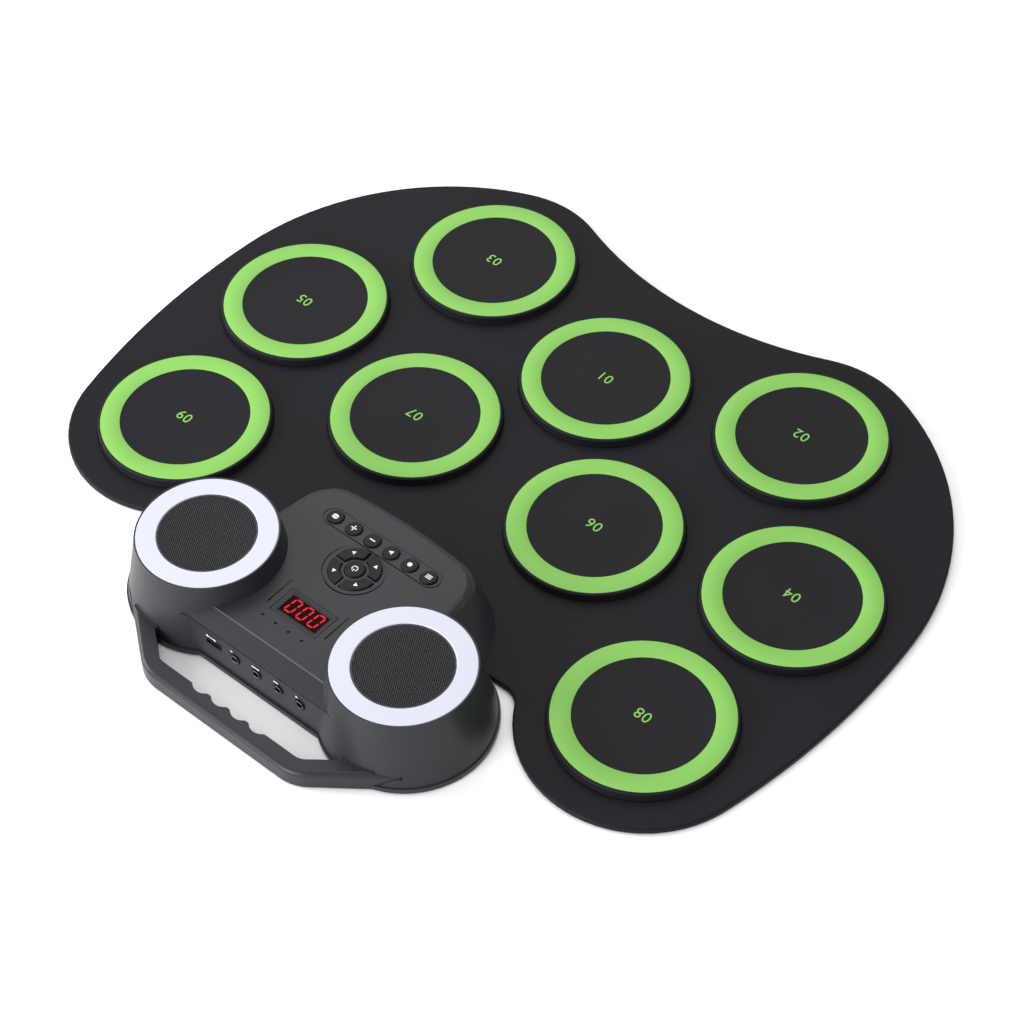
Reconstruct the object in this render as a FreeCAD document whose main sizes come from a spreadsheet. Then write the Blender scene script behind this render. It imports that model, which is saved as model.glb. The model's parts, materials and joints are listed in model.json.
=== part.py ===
import FreeCAD, Part
import math
import os
import re
import Sketcher

# Electronic drum pad: a roll-up mat with nine sprung pads, and a console behind it
# with two speaker turrets, a key panel and a carrying handle.
# Z is up and the object stands on z = 0. The player sits on the -Y side.
# The origin is the middle of the footprint, on the standing surface.

Vector = FreeCAD.Vector
UP = Vector(0, 0, 1)

SIZES = {
    # drum mat
    "sheet_thick": 1.0,         # anti-slip base sheet
    "sheet_inset": 0.8,         # the base sheet stops short of the mat's edge
    "mat_top": 4.0,
    "mat_round": 1.2,
    "lobe_radius": 61.8,        # mat edge about each corner pad
    "ride_margin": 60.4,        # the side arc's reach round the ride pads
    "side_arc": 152.5,          # edge round the sides
    "flank_arc": 410.0,         # edge between the sides and the rear lobes
    "waist_y": -172.0,          # middle of the hollow front edge
    "mat_rear_y": 86.55,
    "notch_arc": 12.0,
    "mat_gap": 0.5,             # mat to console base
    # pads
    "pad_radius": 45.9,
    "pad_base": 3.0,
    "pad_top": 8.6,
    "pad_round": 1.6,
    "well_radius": 46.4,
    "well_floor": 1.6,
    "sensor_radius": 30.0,
    "sensor_thick": 0.35,
    "bass_y": -99.45,
    "snare_x": 104.3,
    "snare_y": -130.85,
    "ride_x": 163.8,
    "ride_y": -42.05,
    "tom_x": 60.3,
    "tom_y": -16.25,
    "crash_x": 152.8,
    "crash_y": 60.75,
    # console shells
    "turret_x": 64.1,
    "turret_y": 128.15,
    "turret_foot": 44.0,        # turret radius at the parting line
    "turret_head": 35.7,        # turret radius at the light ring
    "turret_top": 41.5,
    "wall": 2.2,
    "case_floor": 1.0,
    "parting_z": 4.0,
    "case_foot": 43.3,          # the upper case stands inside the floor's rim
    "floor_rim": 0.8,
    "panel_front_foot": 46.0,   # panel body, front edge at the parting line
    "panel_front_head": 54.4,
    "panel_rear": 163.75,
    "panel_half_foot": 71.5,
    "panel_half_head": 49.0,
    "panel_head_z": 32.0,
    "foot_corner": 40.0,
    "head_corner": 14.0,
    "front_bow": 300.0,         # radius of the panel's bowed front edge
    "head_splay": 0.2,          # the panel's top widens this much per unit of depth
    "edge_round": 4.5,
    "rear_blend": 6.0,          # hollow blend between the rear face and the turrets
    "ridge_round": 0.8,
    "front_lip_z": 27.0,        # crown height at the front edge
    "crown_z": 29.0,            # crown height over the key pad
    "ridge_z": 30.5,
    "ridge_y": 153.4,
    "brow_y": 162.85,
    "brow_z": 26.3,
    # light rings, grilles and speakers
    "ring_outer": 35.0,
    "ring_inner": 24.8,
    "ring_seat": 38.3,
    "ring_rib_inner": 27.0,
    "ring_rib_outer": 31.5,
    "ring_rib_z": 35.4,
    "seat_inner": 31.9,
    "grille_radius": 24.6,
    "grille_z": 40.2,
    "grille_thick": 0.9,
    "basket_radius": 26.6,
    "basket_top": 38.1,
    "basket_rim": 1.2,
    "basket_foot_z": 22.0,
    "basket_foot_radius": 15.0,
    "basket_skin": 0.9,
    "magnet_radius": 14.0,
    "magnet_z": 12.0,
    "cone_radius": 21.2,
    # display and key panel
    "display_y": 128.85,
    "display_z": 30.6,
    "display_surface_z": 29.9,  # crown height beside the display
    "bezel_long": 30.0,
    "bezel_wide": 16.5,
    "window_long": 24.0,
    "window_wide": 11.0,
    "lamp_y": 142.05,
    "lamp_pitch": 8.5,
    "lamp_radius": 0.8,
    "lamp_shift": 1.8,          # the lamp row sits off the middle
    "lamp_depth": 6.0,
    "display_groove_y": 125.9,
    "display_groove_x": 18.6,
    "keypad_y": 93.1,
    "keypad_z": 28.95,
    "quad_radius": 13.0,
    "quad_inner": 7.3,
    "quad_gap": 0.9,            # half the bridge between two quadrant keys
    "power_radius": 5.2,
    "row_y": 73.8,
    "row_z": 28.1,
    "row_pitch": 12.3,
    "round_radius": 4.3,
    "key_clear": 0.3,
    "key_proud": 1.1,
    "groove": 0.4,
    # boards and sockets
    "panel_board_z": 18.4,
    "panel_board_long": 66.0,
    "panel_board_wide": 84.0,
    "panel_board_y": 104.0,
    "board_thick": 1.6,
    "main_board_z": 12.6,
    "main_board_long": 70.0,
    "main_board_wide": 28.0,
    "main_board_y": 143.5,
    "cell_long": 50.0,
    "cell_wide": 34.0,
    "cell_thick": 7.5,
    "cell_y": 98.0,
    "cell_z": 7.2,
    "port_z": 17.2,
    "port_pitch": 14.2,
    "port_first_x": -28.6,
    "port_radius": 3.1,
    "jack_bore": 1.8,
    "jack_depth": 12.0,
    "usb_x": 28.6,
    # handle
    "grip_outer_y": 192.35,
    "grip_inner_y": 183.35,
    "grip_half": 49.0,          # half the straight outer bar
    "arm_out": 41.0,            # from the bar's end to the arm's end, along X
    "arm_back": 31.2,           # and along Y
    "arm_inner_out": 33.0,      # the same to the arm's inner end
    "arm_inner_back": 37.0,
    "grip_top_z": 11.0,
    "finger_pitch": 12.5,
    "finger_depth": 2.3,
    "finger_radius": 6.6,
    "cusp_round": 2.2,
    # fasteners and feet
    "screw_shank": 1.3,
    "screw_head": 2.7,
    "boss_radius": 3.3,
    "boss_dx": 22.5,            # screw bosses about each turret's middle
    "boss_dy": 26.8,
    "front_screw_x": 40.0,      # screws through the mat into the tongue
    "front_screw_y": 62.0,
    "foot_radius": 6.0,
}

doc = FreeCAD.newDocument("drum_pad")
sheet = doc.addObject("Spreadsheet::Sheet", "Sizes")
for row, (alias, number) in enumerate(SIZES.items(), start=1):
    sheet.set(f"A{row}", alias)
    sheet.set(f"B{row}", str(number))
    sheet.setAlias(f"B{row}", alias)
doc.recompute()

WORD = re.compile(r"[a-z_]+")
finished = []


def size(alias):
    return float(sheet.get(alias))


def formula(text):
    """An expression on the sheet: every alias in the text gets the sheet's name."""
    return WORD.sub(lambda m: f"Sizes.{m.group()}" if m.group() in SIZES else m.group(), str(text))


def bind(item, prop, text):
    item.setExpression(prop, formula(text))


def place(item, x=0, y=0, z=0):
    for axis, text in zip("xyz", (x, y, z)):
        bind(item, f"Placement.Base.{axis}", text)


def cylinder(name, radius, height, x=0, y=0, z=0, lying=False):
    """An upright cylinder from z up, or one that lies along -Y from y."""
    item = doc.addObject("Part::Cylinder", name)
    bind(item, "Radius", radius)
    bind(item, "Height", height)
    if lying:
        item.Placement.Rotation = FreeCAD.Rotation(Vector(1, 0, 0), 90)
    place(item, x, y, z)
    return item


def cone(name, low, high, height, x, y, z):
    item = doc.addObject("Part::Cone", name)
    bind(item, "Radius1", low)
    bind(item, "Radius2", high)
    bind(item, "Height", height)
    place(item, x, y, z)
    return item


def box(name, long, wide, height, x=0, y=0, z=0):
    """A box centred on x and y, with its underside at z."""
    item = doc.addObject("Part::Box", name)
    bind(item, "Length", long)
    bind(item, "Width", wide)
    bind(item, "Height", height)
    place(item, f"{x} - ({long}) / 2", f"{y} - ({wide}) / 2", z)
    return item


def fuse(name, pieces):
    item = doc.addObject("Part::MultiFuse", name)
    item.Shapes = pieces
    return item


def group(name, pieces):
    item = doc.addObject("Part::Compound", name)
    item.Links = pieces
    return item


def cut(name, base, tools):
    item = doc.addObject("Part::Cut", name)
    item.Base = base
    item.Tool = tools[0] if len(tools) == 1 else fuse(name + "_tools", tools)
    return item


def round_edges(name, base, radius, wanted):
    """Round every edge of the base that the test picks."""
    doc.recompute()
    item = doc.addObject("Part::Fillet", name)
    item.Base = base
    item.Edges = [(i, radius, radius) for i, e in enumerate(base.Shape.Edges, start=1) if wanted(e)]
    return item


def at_height(z):
    """A test that picks the edges lying at one height."""
    return lambda edge: edge.BoundBox.ZMin > z - 0.01 and edge.BoundBox.ZMax < z + 0.01


def finish(item, label):
    """Name a sub-part; the label is also its file's name."""
    item.Label = label
    finished.append(item)
    return item


def body_with_sketch(name, role="XY_Plane"):
    body = doc.addObject("PartDesign::Body", name)
    return body, sketch_on(body, name + "_sketch", role)


def sketch_on(body, name, role="XY_Plane"):
    sketch = body.newObject("Sketcher::SketchObject", name)
    plane = [f for f in body.Origin.OriginFeatures if f.Role == role][0]
    sketch.AttachmentSupport = [(plane, "")]
    sketch.MapMode = "FlatFace"
    return sketch


def pad_feature(body, sketch, name, length, offset=None):
    pad = body.newObject("PartDesign::Pad", name)
    pad.Profile = sketch
    bind(pad, "Length", length)
    if offset is not None:
        bind(sketch, "AttachmentOffset.Base.z", offset)
    return pad


def circle_in(sketch, radius, x, y):
    """A circle whose centre and radius are bound to the sheet."""
    index = sketch.addGeometry(Part.Circle(Vector(size_of(x), size_of(y), 0), UP, 5), False)
    for kind, text in (("Radius", radius), ("DistanceX", x), ("DistanceY", y)):
        if kind == "Radius":
            rule = Sketcher.Constraint(kind, index, 5)
        else:
            rule = Sketcher.Constraint(kind, -1, 1, index, 3, size_of(text))
        number = sketch.addConstraint(rule)
        bind(sketch, f"Constraints[{number}]", text)


def size_of(text):
    """The number behind an alias, or an alias with a minus sign, or a plain number."""
    text = str(text).replace(" ", "")
    sign = -1 if text.startswith("-") else 1
    name = text.lstrip("-")
    return sign * (size(name) if name in SIZES else float(name))


# ---------------------------------------------------------------- drum mat

PADS = {
    "bass": ("0", "bass_y"),
    "snare": ("-snare_x", "snare_y"),
    "floor_tom": ("snare_x", "snare_y"),
    "hi_hat": ("-ride_x", "ride_y"),
    "ride": ("ride_x", "ride_y"),
    "high_tom": ("-tom_x", "tom_y"),
    "low_tom": ("tom_x", "tom_y"),
    "left_crash": ("-crash_x", "crash_y"),
    "right_crash": ("crash_x", "crash_y"),
}
TURRETS = {"left": "-turret_x", "right": "turret_x"}


def heading(start, end):
    return math.atan2(end[1] - start[1], end[0] - start[0])


def wrap_centre(first, near, second, far, radius):
    """Centre of an arc of this radius round two circles, tangent to both on its inside."""
    apart = math.dist(first, second)
    along = ((radius - near) ** 2 - (radius - far) ** 2 + apart ** 2) / (2 * apart)
    across = math.sqrt((radius - near) ** 2 - along ** 2)
    angle = heading(first, second)
    return (first[0] + along * math.cos(angle) - across * math.sin(angle),
            first[1] + along * math.sin(angle) + across * math.cos(angle))


def mat_outline(sketch, inset):
    """The mat's edge: lobes about the four corner pads, joined by wide tangent arcs."""
    snare = (size("snare_x"), size("snare_y"))
    ride = (size("ride_x"), size("ride_y"))
    crash = (size("crash_x"), size("crash_y"))
    lobe = size("lobe_radius") - inset
    side_arc = size("side_arc") - inset
    flank_arc = size("flank_arc") - inset
    notch_arc = size("notch_arc") + inset
    rear = size("mat_rear_y") - inset
    # The hollow front edge is one arc, tangent to both front lobes.
    fall = snare[1] - size("waist_y") - inset
    waist_arc = (snare[0] ** 2 + fall ** 2 - lobe ** 2) / (2 * (lobe - fall))
    waist = (0, size("waist_y") + inset - waist_arc)
    side = wrap_centre(snare, lobe, ride, size("ride_margin") - inset, side_arc)
    flank = wrap_centre(side, side_arc, crash, lobe, flank_arc)
    rise = rear + notch_arc - crash[1]
    notch = (crash[0] - math.sqrt((lobe + notch_arc) ** 2 - rise ** 2), rear + notch_arc)
    right = [
        (snare, lobe, heading(snare, waist), heading(side, snare)),
        (side, side_arc, heading(side, snare), heading(flank, side)),
        (flank, flank_arc, heading(flank, side), heading(flank, crash)),
        (crash, lobe, heading(flank, crash), heading(crash, notch)),
        (notch, notch_arc, -math.pi / 2, heading(notch, crash)),
    ]
    toward_snare = heading(waist, snare)
    arcs = [(waist, waist_arc, toward_snare, math.pi - toward_snare)]
    for (x, y), radius, start, end in right:
        arcs.append(((x, y), radius, start, end))
        arcs.append(((-x, y), radius, math.pi - end, math.pi - start))
    for (x, y), radius, start, end in arcs:
        sketch.addGeometry(Part.ArcOfCircle(Part.Circle(Vector(x, y, 0), UP, radius), start, end), False)
    sketch.addGeometry(Part.LineSegment(Vector(notch[0], rear, 0), Vector(-notch[0], rear, 0)), False)


def pocket(body, name, depth, floor, circles):
    """Round pockets, cut down from the floor height plus the depth to the floor."""
    sketch = sketch_on(body, name + "_sketch")
    for radius, x, y in circles:
        circle_in(sketch, radius, x, y)
    bind(sketch, "AttachmentOffset.Base.z", floor)
    feature = body.newObject("PartDesign::Pocket", name)
    feature.Profile = sketch
    feature.Reversed = True
    bind(feature, "Length", depth)
    return feature


FRONT_SCREWS = (("-front_screw_x", "front_screw_y"), ("front_screw_x", "front_screw_y"))


def mat_layer(name, floor, height, inset, edge_round=None):
    body, sketch = body_with_sketch(name)
    mat_outline(sketch, inset)
    slab = pad_feature(body, sketch, name + "_slab", height, floor)
    if edge_round:
        doc.recompute()
        rim = body.newObject("PartDesign::Fillet", name + "_rim")
        rim.Base = (slab, [f"Edge{i}" for i, e in enumerate(slab.Shape.Edges, start=1)
                           if at_height(size("mat_top"))(e)])
        bind(rim, "Radius", edge_round)
    pocket(body, name + "_turret_cuts", height, floor,
           [("turret_foot + mat_gap", x, "turret_y") for x in TURRETS.values()])
    return body


base_sheet = mat_layer("base_sheet", "0", "sheet_thick", size("sheet_inset"))
pocket(base_sheet, "base_screw_holes", "sheet_thick", "0",
       [("screw_head + 0.4", x, y) for x, y in FRONT_SCREWS])
finish(base_sheet, "base_sheet")

drum_mat = mat_layer("drum_mat", "sheet_thick", "mat_top - sheet_thick", 0, "mat_round")
pocket(drum_mat, "pad_wells", "mat_top - well_floor", "well_floor",
       [("well_radius", x, y) for x, y in PADS.values()])
pocket(drum_mat, "mat_screw_holes", "mat_top - sheet_thick", "sheet_thick",
       [("screw_shank + 0.2", x, y) for x, y in FRONT_SCREWS])
finish(drum_mat, "drum_mat")

finish(group("pad_sensors", [cylinder(f"{name}_sensor", "sensor_radius", "sensor_thick", x, y, "well_floor")
                             for name, (x, y) in PADS.items()]), "pad_sensors")


for name, (x, y) in PADS.items():
    disc = cylinder(f"{name}_disc", "pad_radius", "pad_top - pad_base", x, y, "pad_base")
    finish(round_edges(f"{name}_pad_body", disc, size("pad_round"), at_height(size("pad_top"))),
           f"{name}_pad")


# ---------------------------------------------------------------- console shells

def crown_profile(inset):
    """Side view of the panel body, as (y, z) points: the front, the crown and the rear brow."""
    drop = size(inset) if inset else 0
    low = size("parting_z") - 5
    front = (size("panel_front_head") - 8, size("front_lip_z") - drop - 0.3)
    crown = (size("keypad_y"), size("crown_z") - drop)
    ridge = (size("ridge_y") - drop / 2, size("ridge_z") - drop)
    brow = (size("brow_y") - drop, size("brow_z") - drop / 2)
    return low, front, crown, ridge, brow


def shield_outline(sketch, half, front, rear, corner, splay):
    """Plan outline of the panel body: bowed front, round corners, splayed sides and a straight rear."""
    bow = size("front_bow")
    middle = (0, front + bow)
    centre = (half - corner, middle[1] - math.sqrt((bow - corner) ** 2 - (half - corner) ** 2))
    sweep = heading(middle, centre)
    lean = math.atan(splay)
    side_start = (centre[0] + corner * math.cos(lean), centre[1] - corner * math.sin(lean))
    side_end = (side_start[0] + splay * (rear - side_start[1]), rear)
    arcs = [((-centre[0], centre[1]), corner, math.pi + lean, math.pi - sweep),
            (middle, bow, -math.pi - sweep, sweep), (centre, corner, sweep, -lean)]
    for (x, y), radius, start, end in arcs:
        sketch.addGeometry(Part.ArcOfCircle(Part.Circle(Vector(x, y, 0), UP, radius), start, end), False)
    path = [side_start, side_end, (-side_end[0], rear), (-side_start[0], side_start[1])]
    for start, end in zip(path, path[1:]):
        sketch.addGeometry(Part.LineSegment(Vector(*start, 0), Vector(*end, 0)), False)


def panel_form(name, inset):
    """The panel body: a loft from foot to head, under the crown. The inset makes its inside form."""
    drop = size(inset) if inset else 0
    tower, foot_sketch = body_with_sketch(name + "_tower")
    head_sketch = sketch_on(tower, name + "_head_sketch")
    bind(foot_sketch, "AttachmentOffset.Base.z", "parting_z")
    bind(head_sketch, "AttachmentOffset.Base.z", "panel_head_z")
    shield_outline(foot_sketch, size("panel_half_foot") - drop, size("panel_front_foot") + drop,
                   size("panel_rear") - drop, size("foot_corner"), 0)
    shield_outline(head_sketch, size("panel_half_head") - drop, size("panel_front_head") + drop,
                   size("panel_rear") - drop, size("head_corner"), size("head_splay"))
    loft = tower.newObject("PartDesign::AdditiveLoft", name + "_loft")
    loft.Profile = foot_sketch
    loft.Sections = [head_sketch]
    loft.Ruled = True
    low, front, crown, ridge, brow = crown_profile(inset)
    body, sketch = body_with_sketch(name + "_crown", "YZ_Plane")
    corners = [Vector(y, z, 0) for y, z in (front, ridge, brow)]
    foot = [Vector(brow[0] + 1.0, low, 0), Vector(front[0], low, 0)]
    sketch.addGeometry(Part.Arc(corners[0], Vector(crown[0], crown[1], 0), corners[1]), False)
    path = corners[1:] + foot + corners[:1]
    for start, end in zip(path, path[1:]):
        sketch.addGeometry(Part.LineSegment(start, end), False)
    pad = pad_feature(body, sketch, name + "_crown_pad", "2 * panel_half_foot + 10")
    pad.Midplane = True
    item = doc.addObject("Part::MultiCommon", name)
    item.Shapes = [tower, body]
    return item


def turret_cone(name, x, inset, top):
    """A turret's outside cone, or the inside one when there is an inset."""
    slope = "(case_foot - turret_head) / (turret_top - parting_z)"
    return cone(name, f"case_foot - {inset}", f"case_foot - {inset} - {slope} * ({top} - parting_z)",
                f"{top} - parting_z", x, "turret_y", "parting_z")


def pill(name, long, wide, height, y, z):
    """A flat block with round ends, along X."""
    ends = [cylinder(f"{name}_end{i}", f"({wide}) / 2", height, f"{side} * (({long}) - ({wide})) / 2", y, z)
            for i, side in enumerate((-1, 1))]
    return fuse(name, [box(name + "_middle", f"({long}) - ({wide})", wide, height, 0, y, z)] + ends)


def handle_outline(sketch, grow=0):
    """Plan of the handle: a bar with two diagonal arms, grown by a margin on its long sides."""
    outer_y = size("grip_outer_y") + grow
    inner_y = size("grip_inner_y") - grow
    half = size("grip_half") + grow / 2
    arm_end = (half + size("arm_out") + 2 * grow, outer_y - size("arm_back") - 1.5 * grow)
    arm_inner_end = (half + size("arm_inner_out"), outer_y - size("arm_inner_back") - 3 * grow)
    right = [(half, outer_y), arm_end, arm_inner_end, (half - 2.5 - 0.85 * grow, inner_y)]
    vectors = [Vector(x, y, 0) for x, y in right + [(-x, y) for x, y in reversed(right)]]
    for start, end in zip(vectors, vectors[1:] + vectors[:1]):
        sketch.addGeometry(Part.LineSegment(start, end), False)


def handle_bends(name, body):
    """Round the handle's corners, wide outside and tighter inside."""
    upright = lambda e: e.BoundBox.ZLength > 2 and e.BoundBox.XLength < 0.01
    outside = round_edges(name + "_outside", body, 24.0,
                          lambda e: upright(e) and e.BoundBox.YMin > size("grip_outer_y") - 1)
    return round_edges(name + "_bends", outside, 9.0,
                       lambda e: upright(e) and abs(e.BoundBox.YMin - size("grip_inner_y")) < 0.1)


def handle_sleeves():
    """Short sleeves on the turrets, which the handle's arms run into."""
    block, sketch = body_with_sketch("sleeve_block")
    handle_outline(sketch, 1.1)
    pad_feature(block, sketch, "sleeve_block_pad", "grip_top_z + 1.0 - parting_z", "parting_z")
    reach = fuse("sleeve_reach", [cylinder(f"{side}_sleeve_reach", "case_foot - 0.3", 20, x, "turret_y", 0)
                                  for side, x in TURRETS.items()])
    sleeves = doc.addObject("Part::MultiCommon", "handle_sleeves")
    span = box("sleeve_span", "2 * turret_x + 30", 90, 20, 0, "turret_y + 30", 0)
    sleeves.Shapes = [block, reach, span]
    bore, bore_sketch = body_with_sketch("sleeve_bore")
    handle_outline(bore_sketch, 0.25)
    pad_feature(bore, bore_sketch, "sleeve_bore_pad", "grip_top_z + 0.1", "0")
    return sleeves, bore


panel_outer = panel_form("panel_outer", None)
at_ridge = lambda e: e.BoundBox.YMin > size("ridge_y") - 0.1 and e.BoundBox.YMax < size("ridge_y") + 0.1
top_rim = lambda e: (e.BoundBox.ZMin > size("front_lip_z") - 2 and e.BoundBox.YMax < size("brow_y") - 1
                     and not at_ridge(e))
panel_rimmed = round_edges("panel_rimmed", panel_outer, size("edge_round"), top_rim)
panel_soft = round_edges("panel_soft", panel_rimmed, size("ridge_round"), at_ridge)
joined = fuse("case_joined", [panel_soft] + [turret_cone(f"{side}_turret_outer", x, "0", "turret_top")
                                             for side, x in TURRETS.items()])


def at_rear_hollow(edge):
    """An edge where the rear face runs into a turret."""
    span = edge.BoundBox
    return span.YMin > size("brow_y") - 4 and span.ZLength > 15 and span.XMax < size("turret_x") + 5


outer = round_edges("case_outer", joined, size("rear_blend"), at_rear_hollow)
inner = [panel_form("panel_inner", "wall")]
for side, x in TURRETS.items():
    inner.append(turret_cone(f"{side}_turret_inner", x, "wall", "(ring_seat - 2)"))
    inner.append(cylinder(f"{side}_ring_seat", "ring_outer + 0.05", 9, x, "turret_y", "ring_seat"))
    inner.append(cylinder(f"{side}_ring_throat", "seat_inner", 20, x, "turret_y", "ring_seat - 10"))
sleeves, sleeve_bore = handle_sleeves()
shell = cut("case_shell", fuse("case_with_sleeves", [outer, sleeves]), inner + [sleeve_bore])

boss_spots = [(f"{side} * (turret_x + boss_dx)", f"turret_y + {end} * boss_dy")
              for side in (-1, 1) for end in (-1, 1)]
bosses = [cylinder(f"boss_{i}", "boss_radius", "18", x, y, "parting_z")
          for i, (x, y) in enumerate(boss_spots)]
bosses += [cylinder(f"front_boss_{i}", "boss_radius", "row_z - wall - 6.4", x, y, "6.2")
           for i, (x, y) in enumerate(FRONT_SCREWS)]
shell_with_bosses = fuse("case_with_bosses", [shell] + bosses)


def quadrant(name, turn, grow, z, height):
    """A quarter-ring block of the key pad, grown by a clearance on every side."""
    sx = 1 if turn in (0, 3) else -1
    sy = 1 if turn in (0, 1) else -1
    wedge = cylinder(f"{name}_wedge", f"quad_radius - quad_gap + 2 * ({grow})", height,
                     f"{sx} * (quad_gap - ({grow}))", f"keypad_y + {sy} * (quad_gap - ({grow}))", z)
    wedge.Angle = 90
    wedge.Placement.Rotation = FreeCAD.Rotation(UP, turn * 90)
    core = cylinder(f"{name}_core", f"quad_inner - ({grow})", 30, 0, "keypad_y", 10)
    return cut(name, wedge, [core])


key_spots = [(f"{k - 2.5} * row_pitch", "row_y") for k in range(6)]
openings = [cylinder(f"key_hole_{i}", "round_radius + key_clear", 12, x, y, "row_z - 8")
            for i, (x, y) in enumerate(key_spots)]
openings.append(cylinder("power_hole", "power_radius + key_clear", 12, 0, "keypad_y", "keypad_z - 8"))
openings += [quadrant(f"quad_hole_{turn}", turn, "key_clear", "keypad_z - 8", 12) for turn in range(4)]
openings.append(box("display_hole", "bezel_long", "bezel_wide", 12, 0, "display_y", "display_z - 8"))
openings += [cylinder(f"lamp_hole_{i}", "lamp_radius + 0.05", 12, f"{i - 1.5} * lamp_pitch + lamp_shift",
                      "lamp_y", "display_z - 8") for i in range(4)]
openings += [box(f"display_groove_{i}", 0.9, 17, 3, f"{side} * display_groove_x", "display_groove_y",
                 "display_surface_z - groove") for i, side in enumerate((-1, 1))]
openings.append(box("brow_groove", "2 * panel_half_head", 4, 0.7, 0, "panel_rear + 0.4", "brow_z - 1.2"))
openings.append(cut("keypad_groove",
                    cylinder("keypad_groove_out", 16.4, 3, 0, "keypad_y", "keypad_z - groove"),
                    [cylinder("keypad_groove_in", 15.6, 3, 0, "keypad_y", "keypad_z - groove")]))
openings.append(cut("row_groove", pill("row_groove_out", 75.1, 11.4, 3, "row_y", "row_z - groove"),
                    [pill("row_groove_in", 73.9, 10.2, 3, "row_y", "row_z - groove")]))
openings += [cylinder(f"port_hole_{i}", "port_radius + 0.1", 12, f"port_first_x + {i} * port_pitch",
                      "panel_rear + 3", "port_z", True) for i in range(4)]
openings.append(box("usb_hole", 10.4, 12, 4.2, "usb_x", "panel_rear - 3", "port_z - 2.1"))
openings += [cylinder(f"boss_bore_{i}", "screw_shank + 0.05", 14, x, y, "parting_z")
             for i, (x, y) in enumerate(boss_spots + list(FRONT_SCREWS))]
finish(cut("upper_case", shell_with_bosses, openings), "upper_case")

# The lower case is a floor behind the mat, with a tongue that clamps the mat's rear edge.
floor_forms = [cylinder(f"{side}_floor_disc", "turret_foot", "parting_z - case_floor", x, "turret_y",
                        "case_floor") for side, x in TURRETS.items()]
floor_forms.append(box("floor_middle", "2 * turret_x", "panel_rear + floor_rim - mat_rear_y - mat_gap",
                       "parting_z - case_floor", 0, "(panel_rear + floor_rim + mat_rear_y + mat_gap) / 2",
                       "case_floor"))
floor_cuts = [cylinder(f"floor_screw_hole_{i}", "screw_shank + 0.2", 9, x, y, "case_floor - 1")
              for i, (x, y) in enumerate(boss_spots)]
floor_cuts += [cylinder(f"floor_head_hole_{i}", "screw_head + 0.2", "1.5", x, y, "case_floor - 0.1")
               for i, (x, y) in enumerate(boss_spots)]
tongue = box("mat_tongue", "2 * panel_half_foot - 50", "48", 2.2, 0, "panel_front_foot + 33", "parting_z")
tongue_holes = [cylinder(f"tongue_hole_{i}", "screw_shank + 0.2", 9, x, y, "parting_z - 1")
                for i, (x, y) in enumerate(FRONT_SCREWS)]
finish(cut("lower_case", fuse("floor_with_tongue", floor_forms + [tongue]), floor_cuts + tongue_holes),
       "lower_case")

# ---------------------------------------------------------------- handle


def handle_half(name, low, high, reach, top_round):
    """A bowed grip bar with diagonal arms that end at this reach from the turrets' middles."""
    body, sketch = body_with_sketch(name + "_bow")
    handle_outline(sketch)
    pad_feature(body, sketch, name + "_bar", f"{high} - {low}", low)
    tools = [cylinder(f"{name}_{side}_seat", reach, 20, x, "turret_y", 0)
             for side, x in TURRETS.items()]
    tools += [cylinder(f"{name}_finger_{i}", "finger_radius", 20, f"{i - 1.5} * finger_pitch",
                       "grip_inner_y + finger_depth - finger_radius", 0) for i in range(4)]
    grooved = cut(name + "_grooved", handle_bends(name, body), tools)
    cusp = lambda e: (e.BoundBox.ZLength > 2 and e.BoundBox.XLength < 0.01
                      and abs(e.BoundBox.YMin - size("grip_inner_y")) < 1.0
                      and abs(e.BoundBox.XMin) < 2.2 * size("finger_pitch"))
    trimmed = round_edges(name + "_trimmed", grooved, size("cusp_round"), cusp)
    if not top_round:
        return finish(trimmed, name)
    at_top = at_height(size("grip_top_z"))
    outer_rim = lambda e: at_top(e) and e.BoundBox.YMax > size("grip_inner_y") + 6
    return finish(round_edges(name + "_rounded", trimmed, top_round, outer_rim), name)


handle_half("handle_lower", "case_floor", "parting_z", "turret_foot + 0.1", 0)
handle_half("handle_upper", "parting_z", "grip_top_z", "case_foot - 2.6", 2.8)

# ---------------------------------------------------------------- speakers and light rings

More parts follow.
